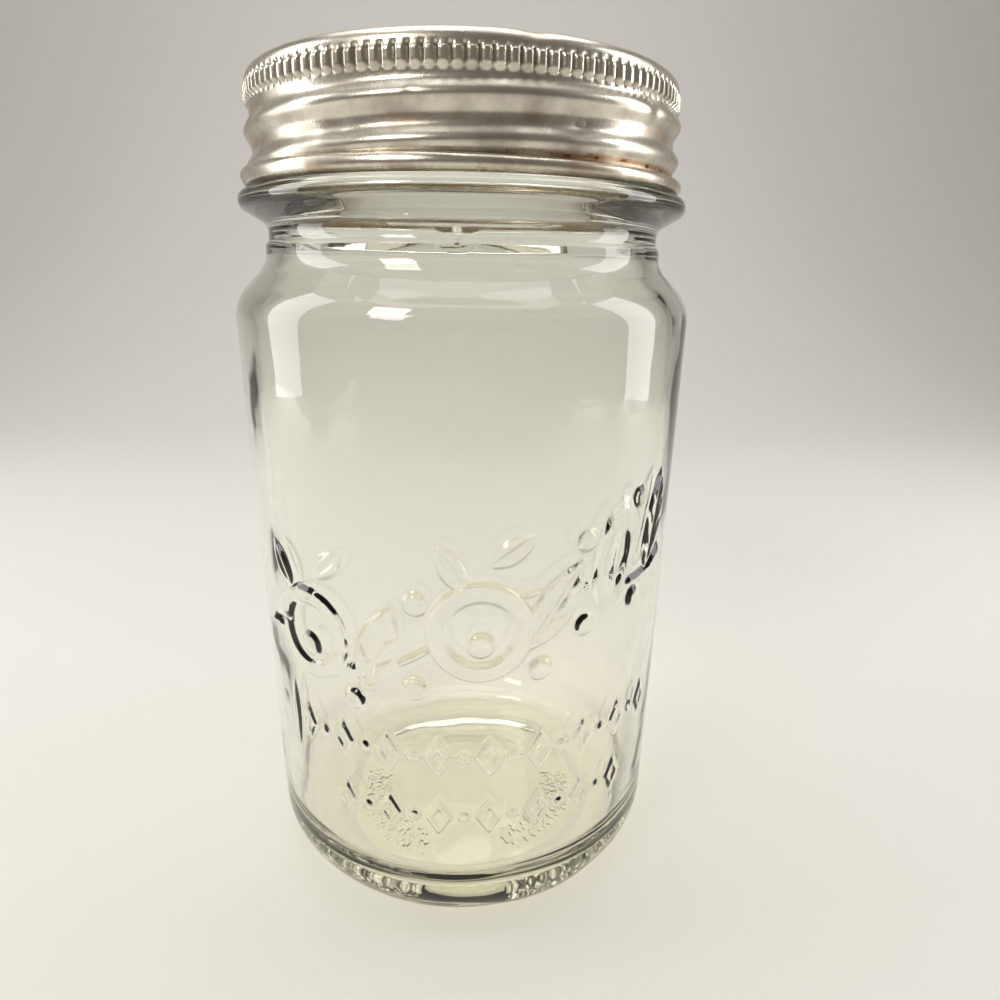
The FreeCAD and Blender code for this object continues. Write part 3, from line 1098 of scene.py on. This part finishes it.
@dataclass
class GlassLid:
    """The glass lid: clamped flange, boss, dish and the plug that sits in the mouth."""

    edge_clearance: float = 0.45
    edge_round: float = 0.8
    boss_inset: float = 0.6
    dish_inset: float = 6.0
    dish_depth: float = 1.1
    plug_width: float = 3.0
    plug_depth: float = 2.4
    plug_clearance: float = 0.7
    plug_round: float = 0.5
    corner_slack: float = 0.25    # more than the band's own corner, so that the lid clears it
    boss_round: float = 0.6
    boss_fillet: float = 0.3
    hollow: float = 1.2
    skin_gap: float = 0.04        # keeps the lid's glass just off the jar's and the band
    columns: int = 144
    wave: float = 18.0            # size of the waves in the boss
    wave_depth: float = 0.15
    glass: PressedGlass = field(default_factory=lambda: PressedGlass("pressed_lid_glass"))

    def build(self, jar: Jar, band: "ScrewBand") -> bpy.types.Object:
        """Turns the lid.

        Args:
            jar: the jar whose mouth it closes.
            band: the band that clamps it.

        Returns:
            The lid as a closed mesh.
        """
        lip = jar.lip_z + self.skin_gap
        top = band.top_z - band.sheet - self.skin_gap
        boss_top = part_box("glass_lid")[1][2] / MM
        edge = band.inner - self.edge_clearance
        boss = band.opening - self.boss_inset
        plug = jar.mouth - self.plug_clearance
        ledge = plug - self.plug_width
        plug_middle = lip - self.plug_depth + self.plug_round
        dish = boss - self.dish_inset
        dish_radius = (dish ** 2 + self.dish_depth ** 2) / (2 * self.dish_depth)
        dish_middle = (0, boss_top - self.dish_depth + dish_radius)
        corner = edge - band.corner_axis + self.corner_slack
        rounding = self.edge_round

        outline = Profile(0, lip + self.hollow)
        outline.line(ledge - self.plug_round, lip + self.hollow, step=6.0)
        outline.line(ledge, lip + self.hollow - self.plug_round)
        outline.arc((ledge + self.plug_round, plug_middle), self.plug_round, 180, 270, step=0.3)
        outline.arc((plug - self.plug_round, plug_middle), self.plug_round, 270, 360, step=0.3)
        outline.line(plug, lip)
        outline.arc((edge - rounding, lip + rounding), rounding, -90, 0, step=0.3)
        outline.arc((edge - corner, top - corner), corner, 0, 90, step=0.3)
        outline.line(boss + self.boss_fillet, top)
        outline.line(boss, top + self.boss_fillet)
        outline.arc((boss - self.boss_round, boss_top - self.boss_round), self.boss_round, 0, 90, step=0.25)
        outline.arc(dish_middle, dish_radius, -90 + degrees(asin(dish / dish_radius)), -90, step=4.0)
        lid = turned("glass_lid_disc", outline, self.columns)
        waver(lid, self.wave, self.wave_depth, lambda x, y, z: smooth((dish - hypot(x, y)) / 4))
        return lid

    def dress(self, lid: bpy.types.Object) -> None:
        """Gives the lid its glass, hangs it under the root body and hides the imported lid.

        Args:
            lid: the shaped lid.
        """
        settle(lid, self.glass.make(), 50)
        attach(lid, "root")
        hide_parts("glass_lid")


@dataclass
class ScrewBand:
    """The screw band: flange, rounded corner, knurled grip, wall with its bead, and curled lower edge."""

    sheet: float = 0.4
    clearance: float = 0.7
    bead_height: float = 1.2
    bead_half: float = 2.75
    bead_turns: tuple[float, float] = (-1.56, 0.08)
    roll_radius: float = 1.3
    roll_stop: float = 470.0      # degrees; the curl starts at 180
    band_gap: float = 0.3
    corner_round: float = 2.3
    corner_proud: float = 0.5
    flange_width: float = 6.0
    knurl_count: int = 124
    knurl_proud: float = 0.8
    knurl_drop: float = 1.9
    knurl_height: float = 4.2
    finish_radius: float = 41.2
    rib_columns: int = 7          # columns of faces for each knurl
    wave: float = 14.0            # size of the waves in the sheet
    wave_depth: float = 0.25
    ding_limit: float = 0.4       # no knock is deeper
    # Each knock's degrees round from +X, height, width and depth.
    dings: tuple = ((-64.0, 158.6, 3.2, 0.22), (-118.0, 158.0, 3.0, 0.2), (-101.0, 161.4, 1.6, 0.2),
                    (-40.0, 163.4, 2.7, 0.3), (-150.0, 160.2, 3.6, 0.3), (-75.0, 170.4, 3.4, 0.25))
    top_z: float = field(default_factory=lambda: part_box("screw_band")[1][2] / MM)
    finish: TinnedSteel = field(default_factory=TinnedSteel)

    @property
    def inner(self) -> float:
        """Inside radius of the wall."""
        return self.finish_radius + self.clearance

    @property
    def outer(self) -> float:
        """Outside radius of the wall."""
        return self.inner + self.sheet

    @property
    def opening(self) -> float:
        """Radius of the opening in the flange."""
        return self.outer - self.flange_width

    @property
    def corner_axis(self) -> float:
        """Radius of the middle of the rounded corner."""
        return self.outer + self.corner_proud - self.corner_round

    def build(self, jar: Jar) -> bpy.types.Object:
        """Turns the sheet with both its faces, and presses its bead, knurls and dings outside.

        Args:
            jar: the jar whose thread the bead follows.

        Returns:
            The band as one closed sheet.
        """
        corner = (self.corner_axis, self.top_z - self.corner_round)
        curl = (self.inner + self.roll_radius,
                jar.ring_z + jar.ring_round + self.band_gap + self.roll_radius)
        inner_corner = (self.inner - self.corner_round + self.sheet, corner[1])
        under = self.top_z - self.sheet

        outline = Profile(self.opening, under)
        outline.line(self.opening, self.top_z)
        outline.line(corner[0], self.top_z, step=2.0)
        outline.arc(corner, self.corner_round, 90, 0, step=0.35)
        outline.line(self.outer, corner[1] - self.corner_proud, step=0.4)
        outline.line(self.outer, curl[1], step=0.4)
        outline.arc(curl, self.roll_radius - self.sheet, 180, self.roll_stop, step=0.6)
        outline.arc(curl, self.roll_radius, self.roll_stop, 180, step=0.35)
        outline.line(self.inner, corner[1], step=3.0)
        outline.arc(inner_corner, self.corner_round - self.sheet, 0, 90, step=0.9)
        outline.line(self.opening, under, step=4.0)
        band = turned("band_steel", outline, self.knurl_count * self.rib_columns)
        bead = Helix(jar.lip_z - jar.thread_top_drop, jar.thread_pitch, *self.bead_turns)
        lowest, highest = curl[1] + 0.1, self.top_z - self.corner_round * 0.4

        def pressed(r: float, angle: float, z: float) -> float:
            """Height of bead and knurls.

            Args:
                r: radius.
                angle: degrees round from +X.
                z: height.

            Returns:
                Millimetres over the outer face.
            """
            if not lowest < z < highest or r <= self.outer - 0.05:
                return 0.0
            rib = self.outer + self.rib(angle, z) - r
            return max(rib, bead.rise(angle, z, self.bead_half, self.bead_section))

        push_out(band, pressed, self.bead_height)
        push_out(band, self.dinged, -self.ding_limit)
        waver(band, self.wave, self.wave_depth,
              lambda x, y, z: smooth((self.top_z - 1 - z) / 3) if z > curl[1] + 1 else 0.3)
        self.paint(band, bead, curl[1])
        return band

    def bead_section(self, off: float) -> float:
        """Height of the bead at a distance from its crest."""
        return self.bead_height * cos(pi * off / (2 * self.bead_half)) ** 2

    def dinged(self, r: float, angle: float, z: float) -> float:
        """Depth of the small knocks that use has left.

        Args:
            r: radius.
            angle: degrees round from +X.
            z: height.

        Returns:
            Millimetres, 0 or negative.
        """
        deepest = 0.0
        for turn, height, size, depth in self.dings:
            away = hypot(r * radians((angle - turn + 180) % 360 - 180), z - height)
            deepest = min(deepest, -depth * exp(-2 * (away / size) ** 2))
        return deepest

    def rib(self, angle: float, z: float) -> float:
        """Height of the knurls.

        Args:
            angle: degrees round from +X.
            z: height.

        Returns:
            Millimetres over the plain wall.
        """
        top = self.top_z - self.knurl_drop
        low = top - self.knurl_height
        if not low < z < top:
            return 0.0
        # Both ends of a knurl are cut short by a slope.
        short = 2 - smooth((z - low) / 1.0) - smooth((top - z) / 0.8)
        return self.knurl_proud * max(0.0, min(1.0, 1.3 * self.knurl_arch(angle)) - short)

    def knurl_arch(self, angle: float) -> float:
        """Round section of the knurls: 1 on a knurl's middle and 0 between two."""
        return sin(pi * ((angle / 360 * self.knurl_count) % 1))

    def paint(self, band: bpy.types.Object, bead: Helix, curl_z: float) -> None:
        """Writes the attribute "groove": how far a place lies in a groove where water stays, with a smaller
        share in the gaps between the knurls.

        Args:
            band: the finished sheet.
            bead: its helical bead.
            curl_z: height of the curl's middle.
        """
        groove = band.data.attributes.new("groove", "FLOAT", "POINT")
        values = []
        dry = 3.2     # half of the height that the bead keeps dry
        low = self.top_z - self.knurl_drop - self.knurl_height
        for vertex in band.data.vertices:
            x, y, z = vertex.co / MM
            r, angle = hypot(x, y), degrees(atan2(y, x))
            high = bead.rise(angle, z, dry, lambda off: cos(pi * off / (2 * dry)) ** 2)
            valley = 0.5 * (1 - smooth(high * 2.2)) * smooth((low - z) / 1.5)
            # Water stays longest where the wall runs into the curl, and a little on the curl itself.
            curl = bell(z - curl_z - 2.0, 0.75) if r < self.outer + 0.5 else 0.1
            inner = 0.6 if r < self.inner + 0.1 and z < self.top_z - self.sheet / 2 else 0.0
            # The gaps between the knurls get a smaller share of it, so the stain darkens them a little.
            knurl = 0.4 * (1 - self.knurl_arch(angle)) if low < z < low + self.knurl_height else 0.0
            values.append(min(1.0, max(valley, curl, inner, knurl)))
        groove.data.foreach_set("value", values)

    def dress(self, band: bpy.types.Object) -> None:
        """Gives the band its tinned steel, hangs it under the root body and hides the imported band.

        Args:
            band: the shaped band.
        """
        settle(band, self.finish.make(), 60)
        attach(band, "root")
        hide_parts("screw_band")


# ---------------------------------------------------------------- studio


@dataclass(frozen=True)
class Lamp:
    """A soft box that points at the jar or at the paper behind it."""

    name: str
    place: tuple[float, float, float]
    aim: tuple[float, float, float]
    size: tuple[float, float]
    watts: float
    tone: str = "#FFFFFF"
    through: bool = True          # seen through the glass

    def hang(self) -> None:
        """Adds the lamp to the scene."""
        bpy.ops.object.light_add(type="AREA", location=self.place)
        lamp = bpy.context.object
        lamp.name = self.name
        lamp.data.shape = "RECTANGLE"
        lamp.data.size, lamp.data.size_y = self.size
        lamp.data.energy = self.watts
        lamp.data.color = colour(self.tone)[:3]
        lamp.visible_transmission = self.through
        lamp.rotation_euler = (Vector(self.aim) - Vector(self.place)).to_track_quat("-Z", "Y").to_euler()


@dataclass(frozen=True)
class Viewpoint:
    """The camera: close in front of the jar, under the band's height and looking a little down."""

    place: tuple[float, float, float] = (0, -0.16486, 0.1363)
    down: float = 17.66           # degrees
    yaw: float = 2.93             # degrees to the right
    roll: float = 0.87            # degrees
    lens: float = 25.92
    sensor: float = 36.0
    nearest: float = 0.01         # metres; nothing nearer is drawn

    def set_up(self) -> None:
        """Adds the camera and makes it the scene's own."""
        down, yaw, roll = radians(self.down), radians(self.yaw), radians(self.roll)
        level = Vector((sin(yaw), cos(yaw), 0))
        side = Vector((cos(yaw), -sin(yaw), 0))
        up = Vector((0, 0, 1))
        ahead = level * cos(down) - up * sin(down)
        above = level * sin(down) + up * cos(down)
        right = side * cos(roll) + above * sin(roll)
        top = above * cos(roll) - side * sin(roll)
        facing = Matrix((right, top, -ahead)).transposed().to_4x4()
        bpy.ops.object.camera_add(location=(0, 0, 0))
        camera = bpy.context.object
        camera.name = "camera"
        camera.matrix_world = Matrix.Translation(self.place) @ facing
        camera.data.sensor_width = self.sensor
        camera.data.lens = self.lens
        camera.data.clip_start = self.nearest
        bpy.context.scene.camera = camera


@dataclass(frozen=True)
class Studio:
    """Pale seamless paper, soft boxes, a plain room and the camera. Sizes are in metres."""

    paper: StudioPaper = field(default_factory=StudioPaper)
    viewpoint: Viewpoint = field(default_factory=Viewpoint)
    paper_width: float = 5.0
    paper_back: float = 1.0
    paper_height: float = 2.6
    sweep: float = 0.55           # radius where the paper turns up
    sweep_rows: int = 24
    room_front: str = "#7B7772"   # behind the camera
    room_back: str = "#DCDBD8"    # behind the paper
    bounces: int = 24
    lamps: tuple[Lamp, ...] = (
        Lamp("strip_left", (-0.55, 0.02, 0.28), (0, 0, 0.1), (0.22, 0.6), 1.5, through=False),
        Lamp("strip_right", (0.55, 0.02, 0.28), (0, 0, 0.1), (0.22, 0.6), 1.5, through=False),
        Lamp("key_left", (-0.5, -0.6, 0.7), (0, 0, 0.1), (0.28, 0.28), 3.2, "#FFFAF2"),
        Lamp("top_box", (0.0, 0.15, 1.0), (0, 0, 0.1), (0.9, 0.9), 4.0),
        Lamp("backdrop_box", (0.0, 0.25, 1.25), (0, 1.0, 0.45), (1.4, 0.4), 3.6),
    )

    def select_back(self, paper: bpy.types.Object) -> None:
        """Selects the paper's edge at its back on the floor, and nothing else.

        Args:
            paper: the paper, in object mode.
        """
        points, slack = paper.data.vertices, 1e-4
        for point in points:
            point.select = abs(point.co.y - self.paper_back) < slack and abs(point.co.z) < slack
        for part in (*paper.data.edges, *paper.data.polygons):
            part.select = all(points[i].select for i in part.vertices)

    def floor(self) -> bpy.types.Object:
        """Lays the paper and turns it up behind the jar.

        Returns:
            The paper.
        """
        deselect()
        middle = self.paper_back - self.paper_width / 2
        bpy.ops.mesh.primitive_plane_add(size=self.paper_width, location=(0, middle, 0))
        paper = bpy.context.object
        paper.name = "studio_paper"
        bpy.ops.object.transform_apply(location=True, rotation=True, scale=True)
        self.select_back(paper)
        bpy.ops.object.mode_set(mode="EDIT")
        bpy.ops.mesh.extrude_region_move(TRANSFORM_OT_translate={"value": (0, 0, self.paper_height)})
        bpy.ops.object.mode_set(mode="OBJECT")
        self.select_back(paper)
        bpy.ops.object.mode_set(mode="EDIT")
        bpy.ops.mesh.bevel(offset=self.sweep, segments=self.sweep_rows)
        bpy.ops.object.mode_set(mode="OBJECT")
        settle(paper, self.paper.make(), 60)
        return paper

    def room(self) -> None:
        """Gives the room a plain light, paler towards the paper and darker behind the camera."""
        world = bpy.data.worlds.new("studio_room")
        bpy.context.scene.world = world
        world.use_nodes = True
        tree = world.node_tree
        tree.nodes.clear()
        way = add_node(tree, "ShaderNodeTexCoord").outputs["Generated"]
        split = add_node(tree, "ShaderNodeSeparateXYZ", None, {"Vector": way})
        depth = add_node(tree, "ShaderNodeMapRange", {"From Min": -0.5, "From Max": 0.7},
                         {"Value": split.outputs["Y"]})
        tone = add_node(tree, "ShaderNodeMix",
                        {"data_type": "RGBA", 6: colour(self.room_front), 7: colour(self.room_back)},
                        {0: depth.outputs[0]})
        room = add_node(tree, "ShaderNodeBackground", {"Strength": 1.0}, {"Color": tone.outputs[2]})
        add_node(tree, "ShaderNodeOutputWorld", None, {"Surface": room.outputs["Background"]})

    def set_up(self) -> None:
        """Lays the paper, hangs the lamps and sets the room and the camera."""
        self.floor()
        for lamp in self.lamps:
            lamp.hang()
        self.room()
        self.viewpoint.set_up()
        scene = bpy.context.scene
        scene.view_settings.view_transform = "Standard"
        # Light that is caught in the thick glass takes many turns to come out.
        scene.cycles.max_bounces = self.bounces
        scene.cycles.transmission_bounces = self.bounces


def report(piece: bpy.types.Object) -> None:
    """Logs a piece's faces and box.

    Args:
        piece: the finished piece.
    """
    corners = [Vector(corner) / MM for corner in piece.bound_box]
    low = [round(min(corner[i] for corner in corners), 1) for i in range(3)]
    high = [round(max(corner[i] for corner in corners), 1) for i in range(3)]
    triangles = sum(len(face.vertices) - 2 for face in piece.data.polygons)
    LOG.info("%s: %d triangles, mm %s to %s", piece.name, triangles, low, high)


def main() -> None:
    """Builds the studio and the jar's three pieces, and reports each."""
    logging.basicConfig(level=logging.INFO, format="%(name)s: %(message)s")
    Studio().set_up()
    jar, band, lid = Jar(), ScrewBand(), GlassLid()
    glass = jar.build()
    jar.dress(glass)
    report(glass)
    steel = band.build(jar)
    band.dress(steel)
    report(steel)
    disc = lid.build(jar, band)
    lid.dress(disc)
    report(disc)


if __name__ == "__main__":
    main()
